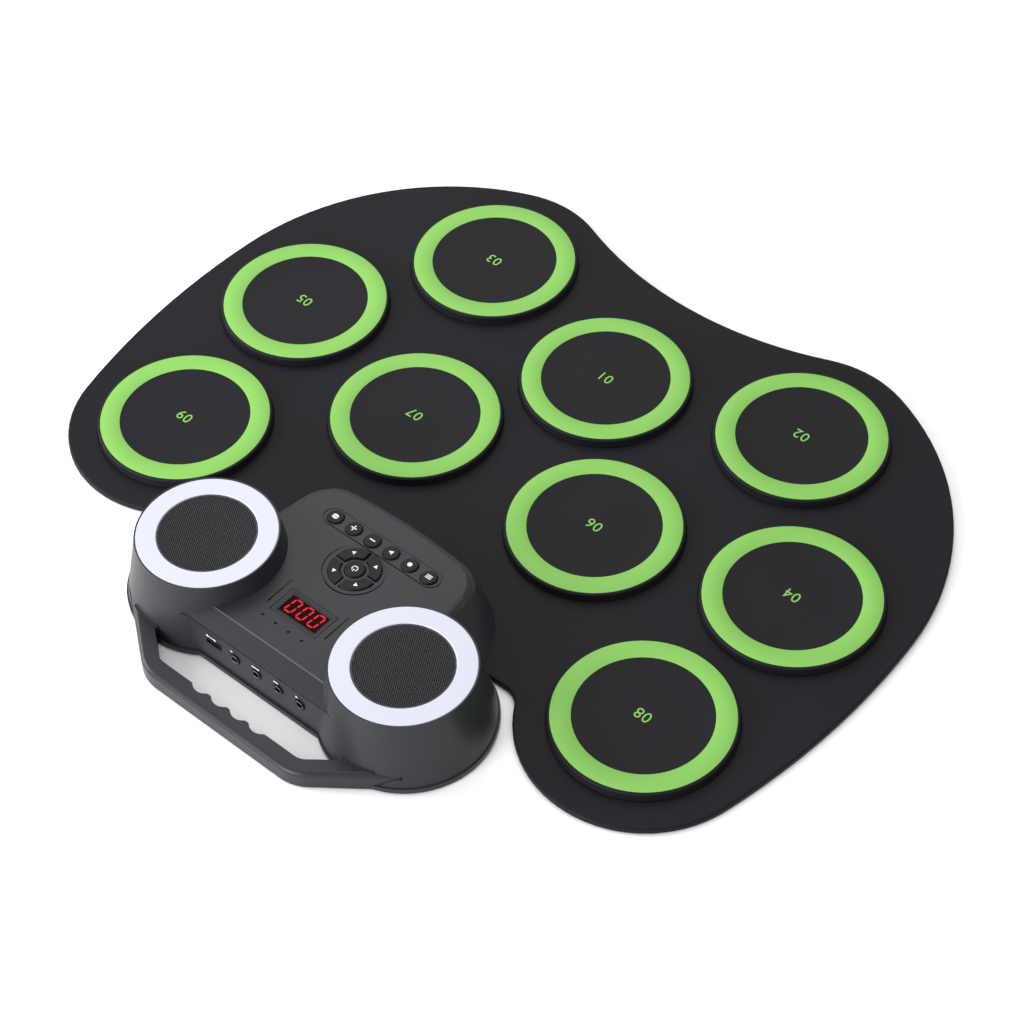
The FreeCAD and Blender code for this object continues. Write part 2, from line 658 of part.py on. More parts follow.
for side, x in TURRETS.items():
    at = (x, "turret_y")
    guide = fuse(f"{side}_guide", [
        cylinder(f"{side}_guide_face", "ring_outer", "turret_top - ring_seat", *at, "ring_seat"),
        cylinder(f"{side}_guide_rib", "ring_rib_outer", "ring_seat - ring_rib_z", *at, "ring_rib_z")])
    ring = cut(f"{side}_ring", guide, [
        cylinder(f"{side}_ring_bore", "ring_inner", 9, *at, "ring_seat"),
        cylinder(f"{side}_rib_bore", "ring_rib_inner", 9, *at, "ring_seat - 9")])
    finish(round_edges(f"{side}_ring_soft", ring, 0.5, at_height(size("turret_top"))), f"{side}_light_ring")
    led_disc = cylinder(f"{side}_led_disc", "ring_rib_outer", 1.2, *at, "ring_rib_z - 1.3")
    led_ring = cut(f"{side}_led_ring", led_disc,
                   [cylinder(f"{side}_led_bore", "ring_rib_inner", 9, *at, "ring_rib_z - 5")])
    finish(led_ring, f"{side}_led_board")
    plate = cylinder(f"{side}_plate", "grille_radius", "grille_thick", *at, "grille_z")
    skirt = cut(f"{side}_skirt", cylinder(f"{side}_skirt_out", "grille_radius", "grille_z - basket_top - 0.1",
                                          *at, "basket_top + 0.1"),
                [cylinder(f"{side}_skirt_in", "grille_radius - 0.8", 9, *at, "basket_top - 4")])
    finish(fuse(f"{side}_grille", [plate, skirt]), f"{side}_speaker_grille")
    rim = cylinder(f"{side}_basket_rim", "basket_radius", "basket_rim", *at, "basket_top - basket_rim")
    bowl = cone(f"{side}_bowl", "basket_foot_radius", "basket_radius - 2.2",
                "basket_top - basket_rim - basket_foot_z", *at, "basket_foot_z")
    hollow = cone(f"{side}_hollow", "basket_foot_radius - basket_skin", "basket_radius - 2.2 - basket_skin",
                  "basket_top - basket_foot_z", *at, "basket_foot_z + basket_skin")
    throat = cylinder(f"{side}_throat", "7", 9, *at, "basket_foot_z - 4")
    finish(cut(f"{side}_basket_form", fuse(f"{side}_basket_solid", [rim, bowl]), [hollow, throat]),
           f"{side}_speaker_basket")
    paper_out = cone(f"{side}_paper_out", "6.5", "cone_radius", "11", *at, "basket_foot_z + 3.2")
    paper_in = cone(f"{side}_paper_in", "5.5", "cone_radius - 0.6", "11.2", *at, "basket_foot_z + 4.0")
    coil = cylinder(f"{side}_coil", "6.5", "2.5", *at, "basket_foot_z + 0.9")
    finish(cut(f"{side}_paper", fuse(f"{side}_paper_solid", [paper_out, coil]), [paper_in]),
           f"{side}_speaker_cone")
    finish(cylinder(f"{side}_magnet_ring", "magnet_radius", "basket_foot_z - magnet_z", *at, "magnet_z"),
           f"{side}_speaker_magnet")

# ---------------------------------------------------------------- display

bezel = cut("bezel_form", box("bezel_block", "bezel_long - 0.3", "bezel_wide - 0.3", 3.2, 0, "display_y",
                              "display_z - 3.6"),
            [box("bezel_window", "window_long", "window_wide", 9, 0, "display_y", "display_z - 6")])
finish(bezel, "display_bezel")
finish(box("display_pane", "window_long - 0.2", "window_wide - 0.2", 1.2, 0, "display_y", "display_z - 2.8"),
       "display_window")
finish(box("display_block", "window_long - 1", "window_wide + 3", 6.6, 0, "display_y", "display_z - 10.6"),
       "digit_display")
finish(group("lamps", [cylinder(f"lamp_{i}", "lamp_radius", 5, f"{i - 1.5} * lamp_pitch + lamp_shift",
                                "lamp_y", "display_z - lamp_depth") for i in range(4)]), "status_lamps")

# ---------------------------------------------------------------- keys

PLUNGE = 5.0    # a key's foot below the panel surface


def round_key(name, radius, flange, x, y, surface):
    """A round key: a cap through the panel, a flange that keeps it in and a foot."""
    cap = cylinder(f"{name}_cap", radius, "key_proud + wall + 0.6", x, y, f"{surface} - wall - 0.6")
    keeper = cylinder(f"{name}_flange", flange, 0.8, x, y, f"{surface} - wall - 1.4")
    foot = cylinder(f"{name}_foot", 2.2, f"{PLUNGE} - wall - 1.4", x, y, f"{surface} - {PLUNGE}")
    solid = fuse(f"{name}_solid", [cap, keeper, foot])
    top = size(surface) + size("key_proud")
    return finish(round_edges(f"{name}_soft", solid, 0.7, at_height(top)), name)


KEY_NAMES = ("mode", "record", "play", "tempo_down", "tempo_up", "kit")
for name, (x, y) in zip(KEY_NAMES, key_spots):
    round_key(f"{name}_key", "round_radius", "round_radius + 0.9", x, y, "row_z")
round_key("power_key", "power_radius", "power_radius + 0.3", "0", "keypad_y", "keypad_z")

QUADS = ("volume_up_key", "accompany_down_key", "volume_down_key", "accompany_up_key")
QUAD_SPOTS = [(f"{sx} * 7.0", f"keypad_y + {sy} * 7.0") for sx, sy in ((1, 1), (-1, 1), (-1, -1), (1, -1))]
for turn, name in enumerate(QUADS):
    sector = quadrant(f"{name}_sector", turn, "0", f"keypad_z - {PLUNGE}", f"key_proud + {PLUNGE}")
    corners = round_edges(f"{name}_corners", sector, 1.2, lambda e: e.BoundBox.ZLength > 3)
    top = size("keypad_z") + size("key_proud")
    finish(round_edges(f"{name}_soft", corners, 0.5, at_height(top)), name)

# ---------------------------------------------------------------- boards, battery and sockets

finish(box("panel_board_form", "panel_board_long", "panel_board_wide", "board_thick", 0, "panel_board_y",
           "panel_board_z"), "panel_board")
switch_foot = "panel_board_z + board_thick"
switches = [box(f"row_switch_{i}", 5, 5, f"row_z - {PLUNGE} - 0.8 - ({switch_foot})", x, y, switch_foot)
            for i, (x, y) in enumerate(key_spots)]
switches += [box(f"pad_switch_{i}", 4.5, 4.5, f"keypad_z - {PLUNGE} - 0.8 - ({switch_foot})", x, y,
                 switch_foot)
             for i, (x, y) in enumerate(QUAD_SPOTS + [("0", "keypad_y")])]
finish(group("switch_set", switches), "key_switches")
finish(box("main_board_form", "main_board_long", "main_board_wide", "board_thick", 0, "main_board_y",
           "main_board_z"), "main_board")
cell = box("cell_block", "cell_long", "cell_wide", "cell_thick", 0, "cell_y", "cell_z")
finish(round_edges("cell_form", cell, 3.0, lambda e: e.BoundBox.XLength > 40), "battery")

jacks = []
for i in range(4):
    x = f"port_first_x + {i} * port_pitch"
    block = box(f"jack_block_{i}", 8, 11, 5.8, x, "panel_rear - wall - 6.5", "port_z - 2.9")
    nose = cylinder(f"jack_nose_{i}", "port_radius", "wall + 3", x, "panel_rear", "port_z", True)
    bore = cylinder(f"jack_bore_{i}", "jack_bore", "jack_depth + 2", x, "panel_rear + 2", "port_z", True)
    jacks.append(cut(f"jack_{i}", fuse(f"jack_form_{i}", [block, nose]), [bore]))
finish(group("jack_set", jacks), "audio_jacks")
usb_block = box("usb_block", 9.6, 11, 3.6, "usb_x", "panel_rear - 5.7", "port_z - 1.8")
usb_form = round_edges("usb_form", usb_block, 1.2, lambda e: e.BoundBox.YLength > 10)
finish(cut("usb_shell", usb_form, [box("usb_mouth", 8.4, 9, 2.4, "usb_x", "panel_rear - 4", "port_z - 1.2")]),
       "usb_socket")

# ---------------------------------------------------------------- fasteners and feet



def screw(name, head, x, y, z):
    """A screw that stands head down, its head's underside at z."""
    return fuse(name, [cylinder(f"{name}_head", "screw_head", head, x, y, z),
                       cylinder(f"{name}_shank", "screw_shank", 14, x, y, f"{z} + {head} - 0.1")])


screws = [screw(f"screw_{i}", 1.3, x, y, "case_floor + 0.1") for i, (x, y) in enumerate(boss_spots)]
screws += [screw(f"mat_screw_{i}", 0.8, x, y, "0.2") for i, (x, y) in enumerate(FRONT_SCREWS)]
finish(group("screw_set", screws), "case_screws")
foot_spots = [(f"{sign} * {dx}", f"turret_y + {dy}") for sign in (-1, 1) for dx, dy in ((72, -22), (72, 24))]
finish(group("foot_set", [cylinder(f"foot_{i}", "foot_radius", "case_floor", x, y, 0)
                          for i, (x, y) in enumerate(foot_spots)]), "rubber_feet")

# ---------------------------------------------------------------- check and write

doc.recompute()
failed = [o.Name for o in doc.Objects if {"Invalid", "Error"} & set(o.State)]
for item in finished:
    if item.Shape.isNull() or not item.Shape.isValid() or not item.Shape.Solids:
        failed.append(item.Label)
if failed:
    raise SystemExit("failed: " + ", ".join(failed))
os.makedirs("parts", exist_ok=True)
for item in finished:
    item.Shape.exportStep(f"parts/{item.Label}.step")
    print(item.Label, len(item.Shape.Solids), round(item.Shape.Volume, 1))
print(len(finished), "sub-parts")
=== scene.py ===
import json
import math

import bmesh
import bpy
from mathutils import Matrix, Vector


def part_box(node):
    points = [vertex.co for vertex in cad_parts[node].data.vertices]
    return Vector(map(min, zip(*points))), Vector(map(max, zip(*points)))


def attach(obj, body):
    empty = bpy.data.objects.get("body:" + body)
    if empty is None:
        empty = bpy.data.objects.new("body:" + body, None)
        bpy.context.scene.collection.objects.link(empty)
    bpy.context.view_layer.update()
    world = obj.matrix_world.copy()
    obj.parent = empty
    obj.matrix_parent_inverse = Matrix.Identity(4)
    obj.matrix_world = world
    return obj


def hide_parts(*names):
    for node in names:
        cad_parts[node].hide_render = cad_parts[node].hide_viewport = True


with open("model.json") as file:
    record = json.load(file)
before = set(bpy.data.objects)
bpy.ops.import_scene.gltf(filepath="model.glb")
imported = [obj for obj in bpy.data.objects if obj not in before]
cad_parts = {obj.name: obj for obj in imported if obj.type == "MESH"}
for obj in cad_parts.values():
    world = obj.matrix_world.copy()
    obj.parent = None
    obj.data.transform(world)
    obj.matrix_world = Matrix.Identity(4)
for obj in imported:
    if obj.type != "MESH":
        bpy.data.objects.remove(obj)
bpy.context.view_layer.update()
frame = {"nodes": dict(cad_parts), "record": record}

MM = 0.001
nodes = frame["nodes"]
ROOT = "console_and_mat"
scene = bpy.context.scene


# ------------------------------------------------------------------ node helpers

PATCH_SCALE = 9.0


def new_material(name):
    """A material with an empty Principled surface; returns it with its node tree and shader."""
    mat = bpy.data.materials.new(name)
    mat.use_nodes = True
    tree = mat.node_tree
    return mat, tree, tree.nodes["Principled BSDF"]


def add(tree, kind, **values):
    """A shader node with its sockets, or its own settings, set by name."""
    node = tree.nodes.new(kind)
    for key, value in values.items():
        if key in node.inputs:
            node.inputs[key].default_value = value
        else:
            setattr(node, key, value)
    return node


def link(tree, source, target):
    tree.links.new(source, target)


def noise(tree, scale, detail=4.0):
    """Noise over the object's own coordinates, so it stays put as the piece moves."""
    place = add(tree, "ShaderNodeTexCoord")
    node = add(tree, "ShaderNodeTexNoise", Scale=scale, Detail=detail, Roughness=0.55)
    link(tree, place.outputs["Object"], node.inputs["Vector"])
    return node.outputs["Fac"]


def ramp(tree, value, stops):
    """Colours at stops along a 0 to 1 value."""
    node = add(tree, "ShaderNodeValToRGB")
    bar = node.color_ramp.elements
    while len(bar) < len(stops):
        bar.new(0.5)
    for element, (at, colour) in zip(bar, stops):
        element.position = at
        element.color = (*colour, 1)
    link(tree, value, node.inputs["Fac"])
    return node.outputs["Color"]


def spread(tree, value, low, high):
    """A 0 to 1 value stretched over a range."""
    node = add(tree, "ShaderNodeMapRange")
    node.inputs["To Min"].default_value = low
    node.inputs["To Max"].default_value = high
    link(tree, value, node.inputs["Value"])
    return node.outputs["Result"]


def surface(name, dark, light, rough, grain, bump_depth, metallic=0.0, gloss=0.5):
    """A moulded or cast surface: faint colour patches, uneven gloss and a fine grain bump_depth metres high."""
    mat, tree, shader = new_material(name)
    patches = noise(tree, PATCH_SCALE)
    fine = noise(tree, grain, 6.0)
    link(tree, ramp(tree, patches, [(0.3, dark), (0.7, light)]), shader.inputs["Base Color"])
    link(tree, spread(tree, fine, rough[0], rough[1]), shader.inputs["Roughness"])
    shader.inputs["Metallic"].default_value = metallic
    shader.inputs["Specular IOR Level"].default_value = gloss
    relief = add(tree, "ShaderNodeBump", Strength=0.6, Distance=bump_depth)
    link(tree, fine, relief.inputs["Height"])
    link(tree, relief.outputs["Normal"], shader.inputs["Normal"])
    return mat


# ------------------------------------------------------------------ materials
# Each one: dark and light colour, roughness range, grain scale, grain height in metres.

SILICONE = surface("silicone", (0.0055, 0.0055, 0.0078), (0.0075, 0.0075, 0.0102), (0.5, 0.62), 900, 0.00004,
                   gloss=0.13)
PAD_FACE = surface("pad_face", (0.0062, 0.0062, 0.0085), (0.0078, 0.0078, 0.0104), (0.52, 0.62), 1100,
                   0.00003, gloss=0.14)
CASE = surface("case_plastic", (0.015, 0.0155, 0.019), (0.0185, 0.019, 0.023), (0.32, 0.44), 1700, 0.00003,
               gloss=0.26)
# Lighter plastic for the ridge bead: a painted highlight along the rear ridge, not a finish of its own.
RIDGE_HIGHLIGHT = surface("painted_ridge_highlight", (0.045, 0.046, 0.05), (0.058, 0.059, 0.063), (0.25, 0.35), 900, 0.00001,
               gloss=0.5)
KEY = surface("key_rubber", (0.005, 0.005, 0.0065), (0.0075, 0.0075, 0.0095), (0.36, 0.5), 1500, 0.00002,
              gloss=0.16)
GRIP = surface("grip_rubber", (0.010, 0.010, 0.011), (0.017, 0.017, 0.018), (0.7, 0.85), 600, 0.00006,
               gloss=0.3)
RING = surface("light_ring", (0.475, 0.49, 0.56), (0.495, 0.51, 0.58), (0.3, 0.4), 500, 0.00001, gloss=0.3)
MESH = surface("grille_black", (0.013, 0.013, 0.017), (0.021, 0.021, 0.026), (0.35, 0.5), 900, 0.00002,
               gloss=0.4)
CLOTH = surface("grille_backing", (0.002, 0.002, 0.003), (0.003, 0.003, 0.004), (0.8, 0.95), 1500, 0.00005,
                gloss=0.05)
STEEL = surface("zinc_steel", (0.45, 0.45, 0.46), (0.6, 0.6, 0.61), (0.25, 0.4), 400, 0.00001, 1.0)
# The USB socket's steel, darkened: painted shade for the recess it sits in.
SOCKET_PAINTED_SHADE = surface("socket_steel_painted_shade", (0.035, 0.035, 0.038), (0.05, 0.05, 0.054), (0.35, 0.5), 400, 0.00001, 1.0)
JACK_RING = surface("jack_ring", (0.11, 0.11, 0.12), (0.15, 0.15, 0.16), (0.3, 0.45), 400, 0.00001, 1.0)
FERRITE = surface("ferrite", (0.05, 0.05, 0.055), (0.08, 0.08, 0.085), (0.6, 0.75), 500, 0.00004)
PAPER = surface("cone_paper", (0.03, 0.03, 0.03), (0.05, 0.05, 0.05), (0.8, 0.95), 700, 0.0001)
BLACK = surface("black_moulding", (0.003, 0.003, 0.004), (0.005, 0.005, 0.006), (0.3, 0.45), 900, 0.00002,
                gloss=0.15)
LAMP = surface("lamp_dark", (0.01, 0.01, 0.012), (0.02, 0.02, 0.022), (0.2, 0.3), 900, 0.0, gloss=0.3)
BOARD = surface("circuit_board", (0.01, 0.09, 0.04), (0.015, 0.13, 0.06), (0.35, 0.5), 300, 0.00003)
WRAP = surface("cell_wrap", (0.03, 0.08, 0.3), (0.04, 0.1, 0.36), (0.2, 0.3), 200, 0.00001)
FILM = surface("sensor_film", (0.45, 0.3, 0.12), (0.55, 0.38, 0.16), (0.3, 0.4), 300, 0.00001)
GREEN = surface("pad_green", (0.172, 0.405, 0.074), (0.185, 0.43, 0.081), (0.42, 0.52), 1200, 0.00001,
                gloss=0.25)
INK = surface("white_ink", (0.62, 0.62, 0.64), (0.7, 0.7, 0.72), (0.5, 0.6), 900, 0.0)
WINDOW = surface("smoked_window", (0.012, 0.0005, 0.0007), (0.018, 0.0006, 0.0009), (0.4, 0.5), 200, 0.0,
                 gloss=0.03)


def glowing(name, colour, strength):
    """A lit segment: its own colour, a little uneven."""
    mat, tree, shader = new_material(name)
    link(tree, ramp(tree, noise(tree, 700), [(0.2, tuple(0.85 * c for c in colour)), (0.8, colour)]),
         shader.inputs["Emission Color"])
    shader.inputs["Emission Strength"].default_value = strength
    shader.inputs["Base Color"].default_value = (*(0.15 * c for c in colour), 1)
    shader.inputs["Specular IOR Level"].default_value = 0.05
    return mat


LIT = glowing("lit_segment", (0.78, 0.035, 0.05), 0.85)

FINISHES = {
    "pad_rubber": PAD_FACE, "mat_silicone": SILICONE, "grip_rubber": GRIP, "sensor_film": FILM,
    "key_rubber": KEY, "case_plastic": CASE, "light_diffuser": RING, "grille_metal": MESH,
    "plated_steel": STEEL, "magnet_ferrite": FERRITE, "cone_paper": PAPER, "smoked_window": WINDOW,
    "black_moulding": BLACK, "circuit_board": BOARD, "cell_wrap": WRAP,
}


def wear(obj, material):
    """Give an object this one material."""
    obj.data.materials.clear()
    obj.data.materials.append(material)


for part in frame["record"]["subparts"]:
    obj = nodes[part["node"]]
    finish = FINISHES[part["material_slot"]]
    if obj.data.materials:
        for index in range(len(obj.data.materials)):
            obj.data.materials[index] = finish
    else:
        obj.data.materials.append(finish)


# ------------------------------------------------------------------ mesh helpers


def piece(name, points, faces, material, body=ROOT, smooth=True, stands_for=()):
    """A mesh piece that rides on a body, in place of the CAD nodes it stands for."""
    mesh = bpy.data.meshes.new(name)
    mesh.from_pydata([tuple(p) for p in points], [], faces)
    mesh.validate()
    mesh.update()
    obj = bpy.data.objects.new(name, mesh)
    scene.collection.objects.link(obj)
    wear(obj, material)
    if smooth:
        mesh.shade_smooth()
    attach(obj, body)
    if stands_for:
        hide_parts(*stands_for)
    return obj


def middle_of(node):
    """The middle of a CAD node's box."""
    low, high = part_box(node)
    return (low + high) / 2


def arc(centre, radius, start, end, steps):
    """Points of an arc in the (r, z) plane, angles in degrees."""
    turns = [math.radians(start + (end - start) * i / steps) for i in range(steps + 1)]
    return [(centre[0] + radius * math.cos(t), centre[1] + radius * math.sin(t)) for t in turns]


def lathe(name, profile, centre, material, body=ROOT, around=128, stands_for=()):
    """Spin an (r, z) profile about the upright line through the centre. Ends on the axis are closed."""
    points = []
    faces = []
    for radius, z in profile:
        for i in range(around):
            angle = 2 * math.pi * i / around
            points.append((centre[0] + radius * math.cos(angle), centre[1] + radius * math.sin(angle), z))
    for row in range(len(profile) - 1):
        for i in range(around):
            j = (i + 1) % around
            faces.append((row * around + i, row * around + j, (row + 1) * around + j, (row + 1) * around + i))
    for row, flip in ((0, True), (len(profile) - 1, False)):
        rim = [row * around + i for i in range(around)]
        if profile[0] != profile[-1]:
            faces.append(rim[::-1] if flip else rim)
    if profile[0] == profile[-1]:
        keep = (len(profile) - 1) * around
        faces = [tuple(v % keep if v >= keep else v for v in face) for face in faces]
        points = points[:keep]
    return piece(name, points, faces, material, body, True, stands_for)


def sharpen(obj, angle=35):
    """Keep true edges crisp where a piece is shaded smooth."""
    mesh = bmesh.new()
    mesh.from_mesh(obj.data)
    bmesh.ops.recalc_face_normals(mesh, faces=mesh.faces)
    for edge in mesh.edges:
        if len(edge.link_faces) == 2:
            edge.smooth = edge.calc_face_angle() < math.radians(angle)
    mesh.to_mesh(obj.data)
    mesh.free()
    return obj


MARK_THICK = 0.06 * MM


def plate(name, outlines, place, material, body=ROOT):
    """Flat printed marks: closed outlines in (x, y), laid by a matrix and given a small thickness."""
    points = []
    faces = []
    for outline in outlines:
        first = len(points)
        count = len(outline)
        points += [place @ Vector((x, y, 0)) for x, y in outline]
        points += [place @ Vector((x, y, MARK_THICK)) for x, y in outline]
        faces.append(tuple(range(first + count, first + 2 * count)))
        faces.append(tuple(range(first + count - 1, first - 1, -1)))
        for i in range(count):
            j = (i + 1) % count
            faces.append((first + i, first + j, first + count + j, first + count + i))
    return piece(name, points, faces, material, body, False)


def millimetres(outlines, scale=MM):
    """Outlines drawn in millimetres, in metres."""
    return [[(x * scale, y * scale) for x, y in line] for line in outlines]


def strip(x0, y0, x1, y1, width):
    """A straight stroke as a four-cornered outline."""
    along = Vector((x1 - x0, y1 - y0)).normalized() * width / 2
    across = Vector((-along.y, along.x))
    start = Vector((x0, y0)) - along
    end = Vector((x1, y1)) + along
    return [tuple(start - across), tuple(end - across), tuple(end + across), tuple(start + across)]


def disc_outline(x, y, radius, steps=20):
    """A circle as a closed outline."""
    return [(x + radius * math.cos(2 * math.pi * i / steps), y + radius * math.sin(2 * math.pi * i / steps))
            for i in range(steps)]


# ------------------------------------------------------------------ pads

PADS = ("bass", "snare", "floor_tom", "hi_hat", "ride", "high_tom", "low_tom", "left_crash", "right_crash")
RING_OUT = 45.0 * MM
RING_IN = 34.1 * MM
FACE_DIP = 0.12 * MM
FOOT_FLARE = 0.22 * MM
NUMBER_TALL = 6.2 * MM
NUMBER_THICK = 0.1 * MM
FONT_PER_TALL = 1.38
mat_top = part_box("drum_mat")[1].z


def numeral(text, name, body, at, z):
    """Raised generic numerals, read from the player's side, resting on height z."""
    font = bpy.data.curves.new(name + "_font", "FONT")
    font.body = text
    font.size = NUMBER_TALL * FONT_PER_TALL
    font.align_x = "CENTER"
    font.align_y = "CENTER"
    font.extrude = NUMBER_THICK / 2
    font.space_character = 1.08
    holder = bpy.data.objects.new(name + "_font", font)
    scene.collection.objects.link(holder)
    bpy.context.view_layer.update()
    mesh = bpy.data.meshes.new_from_object(holder.evaluated_get(bpy.context.evaluated_depsgraph_get()))
    bpy.data.objects.remove(holder)
    mesh.transform(Matrix.Translation((at.x, at.y, z + NUMBER_THICK / 2)))
    obj = bpy.data.objects.new(name, mesh)
    scene.collection.objects.link(obj)
    wear(obj, GREEN)
    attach(obj, body)


def drum_pad(number, name):
    """A moulded pad: foot flare, upright side, soft shoulder, inlaid green ring and a slightly sunken middle.

    The mat's well leaves 0.5 mm all round. The flare is narrower, so a pressed pad clears the mat.
    """
    node = f"{name}_pad"
    body = f"{node}_body"
    low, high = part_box(node)
    centre = middle_of(node)
    top = high.z
    face = top - FACE_DIP
    side = (high.x - low.x) / 2
    shoulder = 1.1 * MM
    profile = [(side - 3 * MM, low.z), (side, low.z), (side, mat_top - 0.15 * MM),
               (side + FOOT_FLARE, mat_top + 0.02 * MM), (side + 0.2 * MM, mat_top + 0.3 * MM),
               (side - 0.05 * MM, mat_top + 0.9 * MM)]
    profile += arc((side - shoulder - 0.1 * MM, top - shoulder), shoulder, 0, 90, 8)
    profile += [(RING_OUT - 0.6 * MM, top), (RING_IN + 0.1 * MM, top), (RING_IN - 0.5 * MM, face),
                (20 * MM, face), (6 * MM, face)]
    sharpen(lathe(f"{node}_moulding", profile, centre, PAD_FACE, body, 160, (node,)), 40)
    lift = 0.05 * MM
    bevel = 0.18 * MM
    outer = RING_OUT - 0.35 * MM
    ring = [(RING_IN, face), (RING_IN, top + lift - bevel / 2), (RING_IN + bevel, top + lift),
            (outer - 0.5 * MM, top + lift), (outer, top - 0.12 * MM), (outer - 0.3 * MM, top - 0.35 * MM),
            (RING_IN, face)]
    sharpen(lathe(f"{node}_ring", ring, centre, GREEN, body, 192), 50)
    numeral(f"{number:02d}", f"{node}_number", body, centre, face)


for number, name in enumerate(PADS, start=1):
    drum_pad(number, name)

# ------------------------------------------------------------------ speaker grilles


HOLE_PITCH = 1.15 * MM
HOLE_REACH = 0.5 * MM
SHEET_THICK = 0.35 * MM
RIM_WIDE = 0.9 * MM
CLOTH_INSET = 1.0 * MM
CLOTH_TOP = 0.75 * MM
CLOTH_BOTTOM = 1.1 * MM


def hexagon(x, y, reach, z):
    """The six corners of an upright hexagon."""
    turns = [math.pi / 6 + k * math.pi / 3 for k in range(6)]
    return [(x + reach * math.cos(turn), y + reach * math.sin(turn), z) for turn in turns]


def perforated(name, centre, radius, z, stands_for):
    """A flat sheet of hexagon cells, each with a six-sided hole, trimmed to a disc by dropping far cells."""
    points = []
    faces = []
    corner = HOLE_PITCH / math.sqrt(3)
    rows = int(radius / (corner * 1.5)) + 2
    columns = int(radius / HOLE_PITCH) + 2
    for row in range(-rows, rows + 1):
        for column in range(-columns, columns + 1):
            x = (column + (row % 2) / 2) * HOLE_PITCH
            y = row * corner * 1.5
            if math.hypot(x, y) > radius - corner * 0.9:
                continue
            first = len(points)
            for reach in (corner, HOLE_REACH):
                points += hexagon(centre.x + x, centre.y + y, reach, z)
            for k in range(6):
                j = (k + 1) % 6
                faces.append((first + k, first + j, first + 6 + j, first + 6 + k))
    obj = piece(name, points, faces, MESH, ROOT, False, stands_for)
    mesh = bmesh.new()
    mesh.from_mesh(obj.data)
    bmesh.ops.remove_doubles(mesh, verts=mesh.verts, dist=0.01 * MM)
    mesh.to_mesh(obj.data)
    mesh.free()
    thick = obj.modifiers.new("thick", "SOLIDIFY")
    thick.thickness = SHEET_THICK
    thick.offset = -1


for side in ("left", "right"):
    node = f"{side}_speaker_grille"
    low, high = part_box(node)
    centre = middle_of(node)
    radius = (high.x - low.x) / 2
    perforated(f"{side}_grille_mesh", centre, radius, high.z, (node,))
    rim = [(radius, high.z), (radius - 0.7 * MM, high.z + 0.05 * MM), (radius - RIM_WIDE, high.z - 0.3 * MM),
           (radius - RIM_WIDE, low.z), (radius, low.z), (radius, high.z)]
    sharpen(lathe(f"{side}_grille_rim", rim, centre, MESH))
    cloth = [(0.1 * MM, high.z - CLOTH_TOP), (radius - CLOTH_INSET, high.z - CLOTH_TOP),
             (radius - CLOTH_INSET, high.z - CLOTH_BOTTOM), (0.1 * MM, high.z - CLOTH_BOTTOM)]
    lathe(f"{side}_grille_cloth", cloth, centre, CLOTH)

# ------------------------------------------------------------------ display digits

SEGMENTS = ((0, 1, 1, 1), (0, 0.5, 0, 1), (1, 0.5, 1, 1), (0, 0, 0, 0.5), (1, 0, 1, 0.5), (0, 0, 1, 0))
DIGIT_TALL = 8.3 * MM
DIGIT_WIDE = 4.1 * MM
DIGIT_PITCH = 7.4 * MM
BAR_WIDE = 0.95 * MM
BAR_GAP = 0.25 * MM
SLANT = math.tan(math.radians(8))
window_low, window_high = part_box("display_window")
window = (window_low + window_high) / 2


def segment(x0, y0, x1, y1):
    """One bar of a seven-segment digit, pointed at both ends."""
    start = Vector((x0, y0))
    end = Vector((x1, y1))
    along = (end - start).normalized()
    across = Vector((-along.y, along.x)) * BAR_WIDE / 2
    start += along * BAR_GAP
    end -= along * BAR_GAP
    tip = along * BAR_WIDE / 2
    return [tuple(start), tuple(start + tip - across), tuple(end - tip - across), tuple(end),
            tuple(end - tip + across), tuple(start + tip + across)]


# Three zeros: every bar but the middle one, leaning a little.
digits = []
for k in (-1, 0, 1):
    for x0, y0, x1, y1 in SEGMENTS:
        bar = segment(x0 * DIGIT_WIDE, y0 * DIGIT_TALL, x1 * DIGIT_WIDE, y1 * DIGIT_TALL)
        left = k * DIGIT_PITCH - DIGIT_WIDE / 2
        digits.append([(x + left + (y - DIGIT_TALL / 2) * SLANT, y - DIGIT_TALL / 2) for x, y in bar])
on_window = Matrix.Translation((window.x, window.y - 0.5 * MM, window_high.z + 0.02 * MM))
plate("display_digits", digits, on_window, LIT)

# ------------------------------------------------------------------ legends on keys and ports


def icon(kind):
    """Generic white marks in millimetres about the key's middle."""
    if kind == "record":
        return [disc_outline(0, 0, 1.5)]
    if kind == "play":
        return [[(-1.2, -1.5), (1.7, 0), (-1.2, 1.5)]]
    if kind == "lines":
        return [strip(-1.7, y, 1.7, y, 0.55) for y in (-1.1, 0, 1.1)]
    if kind == "minus":
        return [strip(-1.6, 0, 1.6, 0, 0.7)]
    if kind == "plus":
        return [strip(-1.6, 0, 1.6, 0, 0.7), strip(0, 0.36, 0, 1.6, 0.7), strip(0, -1.6, 0, -0.36, 0.7)]
    if kind == "drum":
        turns = [2 * math.pi * i / 20 for i in range(20)]
        top = [(2.0 * math.cos(t), 1.0 + 0.75 * math.sin(t)) for t in turns]
        wall = [(-2.0, 0.3), (-1.7, -1.2), (0, -1.75), (1.7, -1.2), (2.0, 0.3), (0, -0.35)]
        return [top, wall]
    if kind == "power":
        turns = [math.radians(130 + 280 * i / 20) for i in range(21)]
        outer = [(2.0 * math.cos(t), 2.0 * math.sin(t)) for t in turns]
        inner = [(1.45 * math.cos(t), 1.45 * math.sin(t)) for t in reversed(turns)]
        quads = [[outer[i], outer[i + 1], inner[-i - 2], inner[-i - 1]] for i in range(20)]
        return quads + [strip(0, 0.7, 0, 2.0, 0.55)]
    turn = {"up": 90, "down": -90, "left": 180, "right": 0}[kind]
    rotate = Matrix.Rotation(math.radians(turn), 2)
    return [[tuple(rotate @ Vector(p)) for p in ((-0.8, -1.15), (1.2, 0), (-0.8, 1.15))]]


